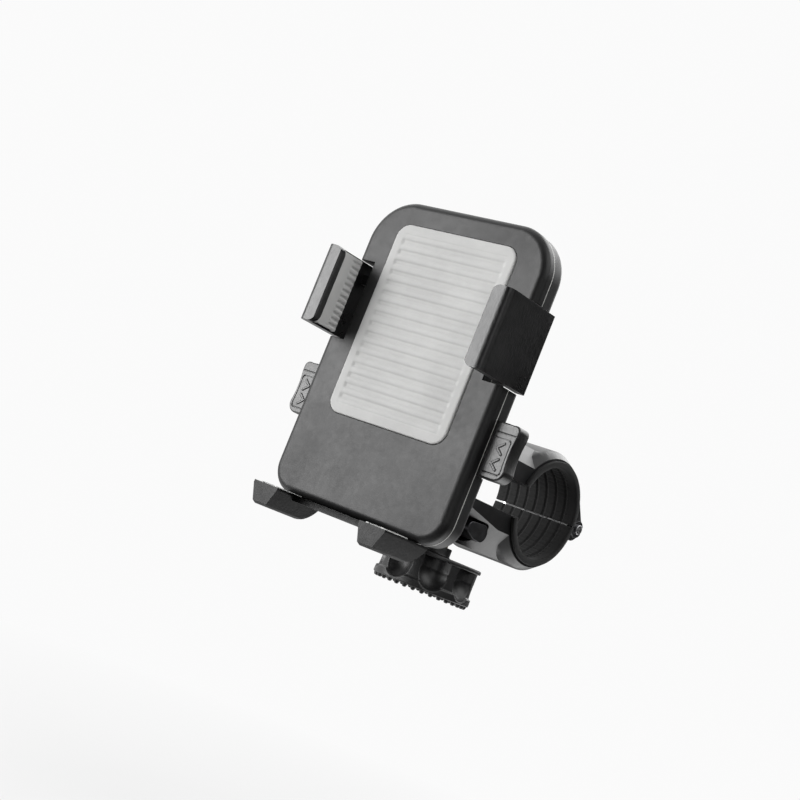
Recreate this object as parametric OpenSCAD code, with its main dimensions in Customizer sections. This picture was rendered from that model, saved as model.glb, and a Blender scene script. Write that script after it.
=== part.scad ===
// Phone holder for a handlebar: a spring cradle with two geared side jaws and a
// sliding foot, on a lockable ball joint, on a hinged split clamp with a hand knob.
// Frame: origin at the centre of the handlebar bore. +X runs along the handlebar
// and is called right, -Y is the way the phone's screen faces and is called front,
// +Z is up along the phone.

/* [Phone] */
// Width of the phone the jaws are closed on
phone_w = 67.1; // [66:0.1:70]

/* [Cradle] */
// Width of the cradle housing
cradle_w = 74; // [73:0.5:76]
// Height of the cradle housing
cradle_h = 103.5; // [102:0.5:106]
// Corner radius at the top of the housing
corner_top = 15.5; // [13:0.5:16]
// Corner radius at the foot of the housing
corner_foot = 9; // [8:0.5:10]
// Wall thickness of the two shells
wall = 1.8; // [1.6:0.1:2]
// Rounding of the long edges of the shells
edge_r = 2.6; // [2:0.1:3]

/* [Jaws] */
// Height of each side jaw
jaw_h = 26.2; // [24:0.2:27]
// Thickness of the jaw's front lip
lip_t = 2.6; // [2:0.1:3]
// Module of the pinion and racks
gear_m = 1; // [1:1]
// Number of teeth on the pinion
pinion_teeth = 10; // [10]

/* [Foot] */
// Height of the two foot fingers
finger_h = 7; // [6:0.5:8]
// Half spacing of the fingers, to their centres
finger_x = 23.1; // [22:0.1:23.5]

/* [Ball joint] */
// Radius of the ball
ball_r = 8; // [7.8:0.1:8]

/* [Clamp] */
// Radius of the handlebar the lined bore takes
bar_r = 16.3; // [15.8:0.1:16.5]
// Half width of the clamp along the handlebar
clamp_hw = 16; // [15:0.5:17]
// Radius of the clamp bolt
bolt_r = 2.45; // [2.4:0.01:2.45]

/* [Knob] */
// Radius of the hand knob
knob_r = 17; // [16:0.5:17]
// Number of finger scallops round the knob
knob_lobes = 8; // [6:1:9]

/* [Hidden] */
$fn = 64;
front_y = -78.4;                 // front face of the housing
seam_y = -73.5;                  // joint line of the two shells
back_y = -67;                    // back face of the housing
foot_z = -26.5;                  // bottom of the housing
mid_z = foot_z + cradle_h / 2;
jaw_z = 40.3;                    // mid height of the jaws and of the pinion
grip_x = phone_w / 2;            // inner face of the jaw pads
pitch_r = gear_m * pinion_teeth / 2;
rack_y0 = -75.5;                 // front of the racks
rack_y1 = -71.2;                 // back of the racks
rack_reach = 9.3;                // from the pinion's axis to the far edge of a rack
ball_y = -53;
ball_z = 12.5;
bolt_y = -29;
bore_r = bar_r + 1.2;            // bore of the plastic clamp halves

// ---- shared shapes ----
function arc(x, y, radius, from, to, steps) =
  [for (i = [0:steps]) let (a = from + (to - from) * i / steps)
    [x + radius * cos(a), y + radius * sin(a)]];

module rod_y(x, front, back, z, radius) {
  translate([x, front, z]) rotate([-90, 0, 0]) cylinder(h = back - front, r = radius);
}
module rod_x(left, right, y, z, radius) {
  translate([left, y, z]) rotate([0, 90, 0]) cylinder(h = right - left, r = radius);
}
module box(left, right, front, back, bottom, top) {
  translate([left, front, bottom]) cube([right - left, back - front, top - bottom]);
}
// Extrudes an outline in [x, z] forward from y = back.
module prism_y(back, depth) {
  translate([0, back, 0]) rotate([90, 0, 0]) linear_extrude(depth) children();
}
// Extrudes an outline in [y, z] from x = left to x = right.
module prism_x(left, right) {
  translate([left, 0, 0]) rotate([90, 0, 90]) linear_extrude(right - left) children();
}
module both() {
  children();
  mirror([1, 0, 0]) children();
}
module washer(thick, outer_r, hole_r) {
  difference() {
    cylinder(h = thick, r = outer_r);
    translate([0, 0, -1]) cylinder(h = 3, r = hole_r);
  }
}

// A flat slab in XY with its own corner radius at each end and a rounded upper rim.
module rim(reach, thick, edge) {
  outer = edge > 0 ? arc(reach - edge, thick - edge, edge, 0, 90, 8) : [[reach, thick]];
  polygon(concat([[0, 0], [reach, 0]], outer, [[0, thick]]));
}
module slab(wide, tall, top_r, foot_r, thick, edge) {
  side = min(top_r, foot_r) - 0.5;
  straight = tall - top_r - foot_r;
  both() {
    translate([wide / 2 - top_r, tall / 2 - top_r, 0])
      rotate_extrude(angle = 90) rim(top_r, thick, edge);
    translate([wide / 2 - foot_r, -tall / 2 + foot_r, 0]) rotate([0, 0, -90])
      rotate_extrude(angle = 90) rim(foot_r, thick, edge);
    translate([wide / 2 - side, tall / 2 - top_r, 0]) rotate([90, 0, 0])
      linear_extrude(straight) rim(side, thick, edge);
  }
  translate([-wide / 2 + top_r, tall / 2 - top_r, 0]) rotate([90, 0, 90])
    linear_extrude(wide - 2 * top_r) rim(top_r, thick, edge);
  mirror([0, 1, 0]) translate([-wide / 2 + foot_r, tall / 2 - foot_r, 0]) rotate([90, 0, 90])
    linear_extrude(wide - 2 * foot_r) rim(foot_r, thick, edge);
  translate([-wide / 2 + side, -tall / 2 + foot_r, 0]) cube([wide - 2 * side, straight, thick]);
}

// A round-wire coil along +X; each ring of points is one section of the wire.
module coil(length, coil_r, turns) {
  wire_r = 0.26;
  steps = 12;                    // rings per turn
  sides = 6;                     // points per ring
  last = turns * steps;
  points = [for (i = [0:last])
    let (a = 360 * i / steps, x = wire_r + (length - 2 * wire_r) * i / last)
    for (k = [0:sides - 1]) let (b = 360 * k / sides, reach = coil_r + wire_r * cos(b))
      [x + wire_r * sin(b), reach * cos(a), reach * sin(a)]];
  // each quad between two rings, by its first and next point
  quads = [for (i = [0:last - 1], k = [0:sides - 1])
    [i * sides + k, i * sides + (k + 1) % sides]];
  polyhedron(points, concat(
    [[for (k = [0:sides - 1]) k]],
    [for (q = quads) [q[0], q[0] + sides, q[1] + sides]],
    [for (q = quads) [q[0], q[1] + sides, q[1]]],
    [[for (k = [sides - 1:-1:0]) last * sides + k]]));
}

// ---- cradle housing ----
screw_sites = [[28.6, -17.5], [-28.6, -17.5], [24.5, 65.5], [-24.5, 65.5]]; // [x, z]
front_skin = 1.6;                // thickness of the front face
back_skin = 1.7;                 // thickness of the back face
rib_front = -77.4;               // the inner walls and posts run into the front face
rib_back = -68;                  // and into the back face
recess_x = 29.6;                 // inner side of the recesses the jaws close into
recess_z0 = jaw_z - jaw_h / 2 - 0.6;
recess_z1 = jaw_z + jaw_h / 2 + 0.6;
recess_wall = 1.6;
pin_r = 1.5;                     // pinion and pawl pins
pin_hole_r = 1.52;
pawl_x = 18;                     // pawl pivots
pawl_z = 24;
button_z = 8;                    // mid height of the release buttons
pad_y = -78.9;                   // the face the phone rests on
pad_z = 36;                      // mid height of the front pad
pad_t = 1;

module housing_slab(inset, depth, edge) {
  slab(cradle_w - 2 * inset, cradle_h - 2 * inset, corner_top - inset, corner_foot - inset,
    depth, edge);
}
module facing_front(y) {
  translate([0, y, mid_z]) rotate([90, 0, 0]) children();
}
module facing_back(y) {
  translate([0, y, mid_z]) rotate([-90, 0, 0]) mirror([0, 1, 0]) children();
}
// the recesses the jaws close into, their racks' slots and the foot's slot
module housing_cuts() {
  slot_far = rack_reach + 0.6;
  slot_near = 3.9;
  both() box(recess_x, 40, -80, -60, recess_z0, recess_z1);
  box(26, 31, rack_y0 - 0.3, rack_y1 + 0.3, jaw_z - slot_far, jaw_z - slot_near);
  box(-31, -26, rack_y0 - 0.3, rack_y1 + 0.3, jaw_z + slot_near, jaw_z + slot_far);
  box(-9.3, 9.3, -72.9, -70.3, foot_z - 1, foot_z + 4);
}
// the walls round the jaw recesses
module recess_walls(front, back) {
  both() {
    box(27.9, recess_x, front, back, recess_z0 - recess_wall, recess_z1 + recess_wall);
    for (z = [recess_z1, recess_z0 - recess_wall])
      box(28, cradle_w / 2 - 1, front, back, z, z + recess_wall);
  }
}
// the front pad's block, or with a gap the pocket it sits in
module pad_block(gap, depth) {
  translate([0, pad_y + pad_t, pad_z]) rotate([90, 0, 0])
    slab(50 + 2 * gap, 66 + 2 * gap, 5 + gap, 5 + gap, depth, 0);
}
module front_shell() {
  color([0.05, 0.05, 0.055]) difference() {
    union() {
      difference() {
        facing_front(seam_y) housing_slab(0, seam_y - front_y, edge_r);
        facing_front(seam_y + 1) housing_slab(wall, seam_y - front_y - front_skin + 1, 1.2);
      }
      recess_walls(rib_front, seam_y);
      for (p = screw_sites) rod_y(p.x, rib_front, seam_y, p.y, 3);
      rod_y(0, rib_front, -75.9, jaw_z, 3);
    }
    housing_cuts();
    for (p = screw_sites) rod_y(p.x, -76.9, seam_y + 1, p.y, 1.25);
    rod_y(0, -76.7, -70, jaw_z, pin_hole_r);
    for (x = [-pawl_x, pawl_x]) rod_y(x, -77.1, -70, pawl_z, pin_hole_r);
    pad_block(0.1, 3);
  }
}
module rear_shell() {
  opening_half = 9.2;            // half height of the button openings
  color([0.045, 0.045, 0.05]) difference() {
    union() {
      difference() {
        facing_back(seam_y) housing_slab(0.3, back_y - seam_y, edge_r);
        facing_back(seam_y - 1) housing_slab(wall, back_y - seam_y - back_skin + 1, 1.2);
      }
      recess_walls(seam_y, rib_back);
      for (p = screw_sites) rod_y(p.x, seam_y, rib_back, p.y, 3.4);
      rod_y(0, -69.0, rib_back, jaw_z, 3);
      // walls at the inner ends of the button springs
      both() box(22.6, 24.2, seam_y, rib_back, -1.5, 5.5);
      // wall at the left end of the jaw spring
      box(-24.6, -23.1, seam_y - 1.2, rib_back, 49.9, 53.4);
      // post beside the foot detent
      box(9.9, 11.4, seam_y, rib_back, -14, -11);
    }
    housing_cuts();
    both() {
      box(34.9, 40, -74.5, -60, button_z - opening_half, button_z + opening_half);
      box(33.2, 36, -74.5, -68.8, button_z - opening_half, button_z + opening_half);
    }
    for (p = screw_sites) {
      rod_y(p.x, -75, -60, p.y, 1.35);
      rod_y(p.x, -69.4, -60, p.y, 2.7);
    }
    for (p = [[0, jaw_z], [-pawl_x, pawl_z], [pawl_x, pawl_z]])
      rod_y(p.x, -70, -67.6, p.y, pin_hole_r);
    at_socket_screws() rod_y(0, -70, -60, 0, 1.15);
  }
}
module front_pad() {
  color([0.58, 0.58, 0.57]) difference() {
    pad_block(0, pad_t);
    for (i = [-5:5]) let (z = pad_z + i * 5.4)
      box(-21, 21, pad_y - 1, pad_y + 0.35, z - 0.6, z + 0.6);
  }
}
module housing_screws() {
  color([0.25, 0.25, 0.27]) for (p = screw_sites) difference() {
    union() {
      rod_y(p.x, -76.8, -69.3, p.y, 1.2);
      rod_y(p.x, -69.35, -67.5, p.y, 2.4);
    }
    // cross slot in the head
    translate([p.x, -68.4, p.y]) rotate([-90, 0, 0])
      for (size = [[2.8, 0.6, 2], [0.6, 2.8, 2]])
        translate([-size.x / 2, -size.y / 2, 0]) cube(size);
  }
}

// ---- jaws ----
jaw_out = grip_x + 4.95;         // outer face of the jaws
jaw_pad_t = 1.2;
lip_y = -93;                     // front of the jaw lips
lip_x = grip_x - 2.05;           // free edge of the jaw lips
lip_corner = 3;                  // rounding of the lips' free corners

// Seen along Z: side plate, rounded outer corner and front lip.
module jaw_section() {
  polygon(concat(
    [[grip_x + jaw_pad_t, back_y], [grip_x + jaw_pad_t, lip_y + lip_t],
     [lip_x, lip_y + lip_t], [lip_x, lip_y + 0.5], [lip_x + 0.5, lip_y]],
    arc(jaw_out - 2.6, lip_y + 2.6, 2.6, -90, 0, 8),
    [[jaw_out, back_y - 0.6], [jaw_out - 0.6, back_y]]));
}
module jaw_body() {
  difference() {
    translate([0, 0, jaw_z - jaw_h / 2]) linear_extrude(jaw_h) jaw_section();
    // rounded free corners of the lip
    for (m = [-1, 1]) translate([lip_x, 0, jaw_z + m * jaw_h / 2]) prism_y(-85, 12)
      polygon(concat([[-1, m], [-1, -lip_corner * m], [0, -lip_corner * m]],
        arc(lip_corner, -lip_corner * m, lip_corner, 180, 180 - 90 * m, 8),
        [[lip_corner, m]]));
  }
}
// Rack teeth pointing up, with the pitch line at z = 0.
module rack() {
  prism_y(rack_y1, rack_y1 - rack_y0)
    for (i = [-6:5]) translate([(i + 0.5) * gear_m * PI, 0])
      polygon([[-0.98, -1.2], [0.98, -1.2], [0.45, 0.52], [-0.45, 0.52]]);
}
module right_jaw() {
  color([0.06, 0.06, 0.065]) union() {
    jaw_body();
    box(-19, grip_x + 2, rack_y0, rack_y1, jaw_z - rack_reach, jaw_z - pitch_r - 1.1);
    translate([0, 0, jaw_z - pitch_r]) rack();
  }
}
module left_jaw() {
  color([0.06, 0.06, 0.065]) union() {
    mirror([1, 0, 0]) jaw_body();
    box(-grip_x - 2, 19, rack_y0, rack_y1, jaw_z + pitch_r + 1.1, jaw_z + rack_reach);
    translate([0, 0, jaw_z + pitch_r]) mirror([0, 0, 1]) rack();
    // post at the right end of the jaw spring
    box(16.2, 18.4, rack_y0, rack_y1, jaw_z + 9.2, jaw_z + 12.9);
  }
}
module right_jaw_pad() {
  half = jaw_h / 2 - 0.4;
  color([0.58, 0.58, 0.57]) difference() {
    box(grip_x, grip_x + jaw_pad_t, lip_y + lip_t + 0.2, -79.2, jaw_z - half, jaw_z + half);
    for (i = [-4:4]) let (z = jaw_z + i * 2.5)
      box(grip_x - 1, grip_x + 0.4, -86.4, -78, z - 0.5, z + 0.5);
  }
}
module left_jaw_pad() {
  mirror([1, 0, 0]) right_jaw_pad();
}

// angle in degrees an involute turns through from its base circle out to a radius
function involute(base_r, radius) =
  let (a = acos(base_r / radius)) tan(a) * 180 / PI - a;
module pinion_outline() {
  base_r = pitch_r * cos(20);    // pressure angle 20 degrees
  tip_r = pitch_r + 0.75;
  root_r = pitch_r - 0.75;
  // half tooth angle at the base circle, less backlash
  half = 90 / pinion_teeth + involute(base_r, pitch_r) - 1.1;
  // one side of a tooth on +X, from the root out
  flank = concat([[root_r - 0.6, root_r * sin(half) * 0.95]],
    [for (i = [0:5])
      let (reach = base_r + (tip_r - base_r) * i / 5, a = half - involute(base_r, reach))
      [reach * cos(a), reach * sin(a)]]);
  circle(r = root_r + 0.05);
  for (k = [0:pinion_teeth - 1]) rotate(90 + k * 360 / pinion_teeth)
    polygon(concat([for (p = flank) [p.x, -p.y]], [for (i = [6:-1:0]) flank[i]]));
}
module pinion() {
  color([0.75, 0.75, 0.72]) translate([0, 0, jaw_z]) difference() {
    union() {
      prism_y(-71.1, 4.3) pinion_outline();
      rod_y(0, -71.2, -69.2, 0, 3.4);
      // ratchet wheel behind the pinion
      prism_y(-69.2, 1.6) for (k = [0:15]) rotate(k * 22.5)
        polygon([[0, 0], [7.0 * cos(-1), 7.0 * sin(-1)], [7.9, 0],
          [6.9 * cos(22.6), 6.9 * sin(22.6)]]);
    }
    rod_y(0, -78, -66, 0, 1.55);
  }
}
module pinion_pin() {
  color([0.7, 0.7, 0.72]) rod_y(0, -76.6, -67.7, jaw_z, pin_r);
}
module jaw_spring() {
  color([0.72, 0.72, 0.74]) translate([-22.9, -73.3, jaw_z + 11.3]) coil(38.9, 1.35, 17);
}

// ---- release buttons and pawls ----
module button_body() {
  half = 9;                      // half height of the button
  outer_x = 46.3;
  inner_x = 37.2;
  corner = 2.6;
  hollow_r = 22;
  difference() {
    union() {
      // the pressed end, with rounded outer corners
      translate([0, 0, button_z]) prism_y(-67.7, 5.7) polygon(concat([[inner_x, -half]],
        arc(outer_x - corner, -half + corner, corner, -90, 0, 8),
        arc(outer_x - corner, half - corner, corner, 0, 90, 8), [[inner_x, half]]));
      box(34.5, 37.3, -73.3, -68.9, button_z - half, button_z + half);
      // taller flange at the inner end
      box(33, 34.6, -73.3, -69.4, button_z - 11, button_z + 11);
    }
    // a shallow finger hollow in the pressed end
    translate([outer_x + hollow_r - 0.6, -66, button_z]) rotate([90, 0, 0])
      cylinder(h = 9, r = hollow_r);
    // a recessed panel on the front face
    translate([0, 0, button_z]) prism_y(-73.1, 2)
      polygon([[38.6, -7], [43.6, -7], [43.6, 7], [38.6, 7]]);
  }
  // chevrons in the panel, pointing inward
  for (z = [-3.6, 0, 3.6]) translate([0, 0, button_z + z]) prism_y(-73.05, 0.5)
    polygon([[39.6, 0], [42.4, -1.9], [42.4, -0.8], [40.9, 0], [42.4, 0.8], [42.4, 1.9]]);
}
module right_release_button() {
  color([0.16, 0.16, 0.16]) button_body();
}
module left_release_button() {
  color([0.16, 0.16, 0.16]) mirror([1, 0, 0]) button_body();
}
module right_button_spring() {
  color([0.72, 0.72, 0.74]) translate([24.3, -71.1, 2]) coil(8.6, 1.7, 5);
}
module left_button_spring() {
  mirror([1, 0, 0]) right_button_spring();
}
// [x, z] round the right pawl, from its tip at the ratchet wheel
pawl_outline = [[8.15, 40.2], [10.2, 41.4], [12.4, 40.2], [21.4, 25.2], [32.2, 10.4],
  [32.8, 9.6], [32.2, 9.0], [29.6, 9.0], [17, 20.8], [14.6, 23.6], [9.8, 39.0]];
module right_pawl() {
  color([0.7, 0.7, 0.68]) difference() {
    prism_y(-69.1, 1.5) polygon(pawl_outline);
    rod_y(pawl_x, -75, -65, pawl_z, 1.55);
  }
}
module left_pawl() {
  mirror([1, 0, 0]) right_pawl();
}
module pawl_pins() {
  color([0.7, 0.7, 0.72]) for (x = [-pawl_x, pawl_x]) rod_y(x, -77, -67.7, pawl_z, pin_r);
}

// ---- foot ----
plate_z = foot_z - 0.05;         // top of the foot plate
finger_front = -93.4;

// The front view narrows downward; the underside runs straight back, then rounds
// up to the plate.
module finger() {
  intersection() {
    translate([finger_x, -66, plate_z]) rotate([90, 0, 0]) linear_extrude(40)
      polygon([[-5.3, 0], [-5.3, -0.9], [-3.1, -finger_h + 0.7], [-2.4, -finger_h],
        [2.2, -finger_h], [2.9, -finger_h + 0.7], [5.3, -0.9], [5.3, 0]]);
    prism_x(finger_x - 10, finger_x + 10)
      polygon(concat(arc(-70.8 - finger_h, plate_z, finger_h, 0, -90, 12),
        [[finger_front + 0.8, plate_z - finger_h], [finger_front, plate_z - finger_h + 0.8],
         [finger_front, plate_z]]));
  }
}
module foot_bracket() {
  color([0.08, 0.08, 0.085]) difference() {
    union() {
      both() finger();
      box(-finger_x, finger_x, -84.6, -70.9, plate_z - 2, plate_z);
      // tongue that slides in the housing
      box(-9, 9, -72.6, -70.6, plate_z - 2, 12);
    }
    // pockets for the pads
    both() box(finger_x - 4.2, finger_x + 4.2, -92.5, -79.4, plate_z - 0.7, plate_z + 1);
    // notches in the tongue's edges
    for (i = [0:4]) both() rod_y(9, -75, -67, -2 + i * 3, 0.7);
  }
}
module right_foot_pad() {
  color([0.58, 0.58, 0.57])
    box(finger_x - 4.1, finger_x + 4.1, -92.4, -79.5, plate_z - 0.7, plate_z + 0.35);
}
module left_foot_pad() {
  mirror([1, 0, 0]) right_foot_pad();
}
// an upright strip with a bump towards the tongue; its outline is in [x, z]
module foot_detent() {
  color([0.72, 0.72, 0.74]) prism_y(-70.2, 2)
    polygon([[9.45, -13.6], [9.85, -13.6], [9.85, -4], [9.6, -2.6], [9.6, -1.4], [9.85, 0],
      [9.85, 6], [9.5, 6], [9.5, 0], [9.1, -1.4], [9.1, -2.6], [9.45, -4]]);
}

// ---- ball joint ----
liner_ro = ball_r + 1.2;
seat_r = liner_ro + 0.05;
stud_r = 4.2;
stud_pin_y = -39;

module at_socket_screws() {
  for (a = [90, 210, 330]) translate([7 * cos(a), 0, ball_z + 7 * sin(a)]) children();
}
module ball_socket() {
  color([0.06, 0.06, 0.065]) difference() {
    union() {
      rod_y(0, back_y, back_y + 2.2, ball_z, 15);
      rod_y(0, back_y + 2, ball_y - 1.2, ball_z, 12);
    }
    translate([0, ball_y, ball_z]) sphere(r = seat_r);
    at_socket_screws() rod_y(0, back_y - 1, back_y + 4.4, 0, 0.95);
  }
}
module socket_screws() {
  color([0.7, 0.7, 0.72]) at_socket_screws() {
    rod_y(0, -68.75, back_y + 4.2, 0, 0.9);
    rod_y(0, -69.9, -68.75, 0, 2);
  }
}
module ball_liner() {
  color([0.75, 0.73, 0.68]) difference() {
    translate([0, ball_y, ball_z]) sphere(r = liner_ro);
    translate([0, ball_y, ball_z]) sphere(r = ball_r + 0.04);
    // open at the back and front, and split at the top
    box(-12, 12, ball_y + 5.2, ball_y + 12, ball_z - 12, ball_z + 12);
    box(-12, 12, ball_y - 12, ball_y - 7.4, ball_z - 12, ball_z + 12);
    box(-0.8, 0.8, ball_y - 12, ball_y + 12, ball_z, ball_z + 12);
  }
}
module locking_ring() {
  color([0.05, 0.05, 0.055]) difference() {
    translate([0, 0, ball_z]) rotate([-90, 0, 0]) rotate_extrude()
      polygon([[9, ball_y - 9.6], [14.6, ball_y - 9.6], [15.4, ball_y - 8.8],
        [15.4, ball_y + 1.4], [11, ball_y + 5.4], [0, ball_y + 5.4], [0, ball_y - 5],
        [9, ball_y - 5]]);
    rod_y(0, ball_y - 10, ball_y - 1.1, ball_z, 12.05);
    translate([0, ball_y, ball_z]) rotate([-90, 0, 0]) sphere(r = seat_r);
    // grip flutes round the rim
    for (k = [0:23]) translate([15.9 * cos(k * 15), ball_y - 8.2, ball_z + 15.9 * sin(k * 15)])
      rotate([-90, 0, 0]) cylinder(h = 20, r = 1.05);
  }
}
module ball_stud() {
  color([0.1, 0.1, 0.105]) difference() {
    union() {
      translate([0, ball_y, ball_z]) sphere(r = ball_r);
      rod_y(0, ball_y + 2, -35, ball_z, stud_r);
    }
    rod_x(-10, 10, stud_pin_y, ball_z, 1.25);
  }
}
module stud_pin() {
  color([0.7, 0.7, 0.72]) rod_x(-12.6, 12.6, stud_pin_y, ball_z, 1.23);
}

// ---- clamp ----
hinge_y = 23.5;
hinge_pin_r = 1.74;
hinge_neck_r = 1.3;              // groove the clip sits in
knuckle_r = 4.6;
knuckle_space = 4.95;            // clearance round the other half's knuckles
ear_y = -42.8;                   // front face of the clamp ears
mouth_half = 5.5;                // half height of the gap between the ears

// The plastic ring, thicker at its middle than at its two side faces.
module ring() {
  rotate([0, 90, 0]) rotate_extrude()
    polygon([[bore_r, -clamp_hw], [19.4, -clamp_hw], [21.5, -clamp_hw + 3.4],
      [21.5, clamp_hw - 3.4], [19.4, clamp_hw], [bore_r, clamp_hw]]);
}
// The block between the ring and the front face. The crown is its flat middle.
module ear(side_z, crown_z, crown_x, front) {
  intersection() {
    prism_x(-clamp_hw, clamp_hw)
      polygon([[front, 5.6], [front, crown_z - 3.5], [front + 3.5, crown_z], [2, crown_z],
        [2, bore_r + 0.4], [-bore_r - 1.6, 5.6]]);
    prism_y(10, 60)
      polygon([[-clamp_hw, 4], [clamp_hw, 4], [clamp_hw, side_z], [crown_x, crown_z],
        [-crown_x, crown_z], [-clamp_hw, side_z]]);
  }
}
module knuckle_block(left, right) {
  rod_x(left, right, hinge_y, 0, knuckle_r);
  prism_x(left, right)
    polygon([[hinge_y - 9, 8.5], [hinge_y - 7, 0.7], [hinge_y, -0.2], [hinge_y + 4.55, 0.1],
      [hinge_y + 3, 3.4], [hinge_y - 3.5, 10.8]]);
}
module upper_clamp_jaw() {
  color([0.07, 0.07, 0.075]) difference() {
    union() {
      intersection() {
        ring();
        box(-20, 20, -30, hinge_y - 1.2, 0.7, 30);
      }
      ear(12, 18.5, 10, ear_y);
      knuckle_block(-14, -5.2);
      knuckle_block(5.2, 14);
    }
    rod_x(-30, 30, 0, 0, bore_r);
    // room for the lower half's knuckle
    box(-5.0, 5.0, hinge_y - 4.9, hinge_y + 8, -8, knuckle_space);
    rod_x(-5.0, 5.0, hinge_y, 0, knuckle_space);
    box(-30, 30, -60, -bore_r + 1, -8, mouth_half);
    rod_x(-30, 30, hinge_y, 0, 1.75);
    // sockets for the ball stud and its cross pin
    rod_y(0, -60, -34.9, ball_z, stud_r + 0.02);
    rod_x(-12.7, 12.7, stud_pin_y, ball_z, 1.25);
    // bolt hole and the well for its head
    translate([0, bolt_y, 0]) cylinder(h = 40, r = 2.7);
    translate([0, bolt_y, 11.3]) cylinder(h = 40, r = 5.4);
  }
}
module lower_clamp_jaw() {
  slot_y0 = -31.2;
  slot_y1 = bolt_y + 0.9;
  color([0.07, 0.07, 0.075]) difference() {
    union() {
      intersection() {
        ring();
        box(-20, 20, -30, hinge_y - 1.2, -30, -0.7);
      }
      difference() {
        mirror([0, 0, 1]) ear(12, 21, 8.5, ear_y + 0.4);
        // the lower bevels widen towards the front
        both() translate([clamp_hw, -20.8, -12.3]) rotate([0, 40.4, -8.8])
          translate([0, -60, -60]) cube([30, 120, 120]);
      }
      mirror([0, 0, 1]) knuckle_block(-4.9, 4.9);
    }
    rod_x(-30, 30, 0, 0, bore_r);
    // room for the upper half's knuckles
    both() {
      box(4.9, 30, hinge_y - 4.9, hinge_y + 8, -knuckle_space, 8);
      rod_x(5.0, 20, hinge_y, 0, knuckle_space);
    }
    box(-30, 30, -60, -bore_r + 1, -mouth_half, 8);
    rod_x(-30, 30, hinge_y, 0, 1.8);
    // slot for the bolt
    for (y = [slot_y0, slot_y1]) translate([0, y, -30]) cylinder(h = 40, r = 2.8);
    box(-2.8, 2.8, slot_y0, slot_y1, -30, 10);
    // window for the trunnion, from side to side
    rod_x(-30, 30, bolt_y, -15.6, 4.1);
    box(-30, 30, -37.2, bolt_y, -19.7, -11.5);
    box(-30, 30, -39.5, -37.1, -18.2, -11.5);
    // the opening its washer goes in by
    for (y = [-31.4, -28.4]) translate([0, y, -30]) cylinder(h = 14, r = 5);
    box(-5, 5, -31.4, -28.4, -30, -16);
  }
}
module hinge_pin() {
  color([0.72, 0.72, 0.74]) difference() {
    union() {
      rod_x(-16.4, 16.6, hinge_y, 0, hinge_pin_r);
      rod_x(-16.4, -14.1, hinge_y, 0, 3);
    }
    translate([15.0, hinge_y, 0]) rotate([0, 90, 0]) washer(0.8, 4, hinge_neck_r);
  }
}
module hinge_clip() {
  color([0.3, 0.3, 0.32]) translate([15.05, hinge_y, 0]) rotate([0, 90, 0]) difference() {
    washer(0.7, 3.1, hinge_neck_r + 0.02);
    translate([-1.1, 0, -1]) cube([2.2, 6, 3]);
  }
}
// The upper half; its flanges lap the clamp's side faces.
module liner_half() {
  outer_r = bore_r - 0.02;
  flange_r = 18.7;
  flange_in = clamp_hw + 0.05;
  flange_out = clamp_hw + 1.4;
  difference() {
    rotate([0, 90, 0]) rotate_extrude()
      polygon([[bar_r, -flange_out], [flange_r, -flange_out], [flange_r, -flange_in],
        [outer_r, -flange_in], [outer_r, flange_in], [flange_r, flange_in],
        [flange_r, flange_out], [bar_r, flange_out]]);
    box(-30, 30, -30, 30, -30, 0.8);
    // grooves round the bore
    for (i = [-3:3]) translate([i * 4.2, 0, 0]) rotate([0, 90, 0]) rotate_extrude()
      polygon([[bar_r - 1, -0.5], [bar_r + 0.4, -0.5], [bar_r + 0.4, 0.5], [bar_r - 1, 0.5]]);
    box(-30, 30, -30, -bore_r + 3.2, -1, 5.4);
  }
}
module upper_liner() {
  color([0.03, 0.03, 0.03]) liner_half();
}
module lower_liner() {
  color([0.03, 0.03, 0.03]) mirror([0, 0, 1]) liner_half();
}

// ---- clamp screw ----
trunnion_z = -15.3;

module clamp_bolt() {
  color([0.7, 0.7, 0.72]) translate([0, bolt_y, 0]) union() {
    translate([0, 0, -36.4]) cylinder(h = 49, r = bolt_r);
    translate([0, 0, 12.4]) cylinder(h = 3.4, r = 4.6, $fn = 6);
  }
}
module bolt_washer() {
  color([0.7, 0.7, 0.72]) translate([0, bolt_y, 11.35]) washer(1, 5.1, 2.6);
}
// rounded at the rear, tapering to the front
module trunnion() {
  color([0.3, 0.3, 0.31]) difference() {
    prism_x(-15.2, 15.2) polygon(concat(
      arc(bolt_y, trunnion_z, 3.1, 90, -90, 16), [[-32.6, trunnion_z - 2.7]],
      arc(-35.3, trunnion_z + 0.6, 2.1, -110, -270, 8)));
    translate([0, bolt_y, -30]) cylinder(h = 30, r = 2.55);
  }
}
module trunnion_washer() {
  color([0.7, 0.7, 0.72]) translate([0, bolt_y, -19.3]) washer(0.85, 4.2, 2.55);
}

// ---- knob ----
insert_r = 3.5;
cap_r = 8;

module grip_outline() {
  difference() {
    circle(r = knob_r - 0.9);
    for (k = [0:knob_lobes - 1]) rotate(k * 360 / knob_lobes)
      translate([knob_r + 1.2, 0]) circle(r = 4.9);
  }
}
module knob() {
  color([0.1, 0.1, 0.105]) translate([0, bolt_y, 0]) difference() {
    union() {
      translate([0, 0, -27.2]) cylinder(h = 3.4, r = 5.2);
      translate([0, 0, -28.4]) cylinder(h = 1.4, r = knob_r);
      translate([0, 0, -37.4]) linear_extrude(9.2) grip_outline();
      // flange at the foot of the knob, with a ring of small bumps under it
      translate([0, 0, -39.7]) cylinder(h = 2.4, r = knob_r);
      for (k = [0:31]) rotate((k + 0.5) * 11.25)
        translate([knob_r - 1.1, 0, -40.9]) cylinder(h = 1.4, r = 0.8);
    }
    translate([0, 0, -37.2]) cylinder(h = 20, r = insert_r + 0.02);
    translate([0, 0, -38.6]) cylinder(h = 2, r = 2.9);
    translate([0, 0, -41]) cylinder(h = 2, r = cap_r + 0.05);
  }
}
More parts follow.
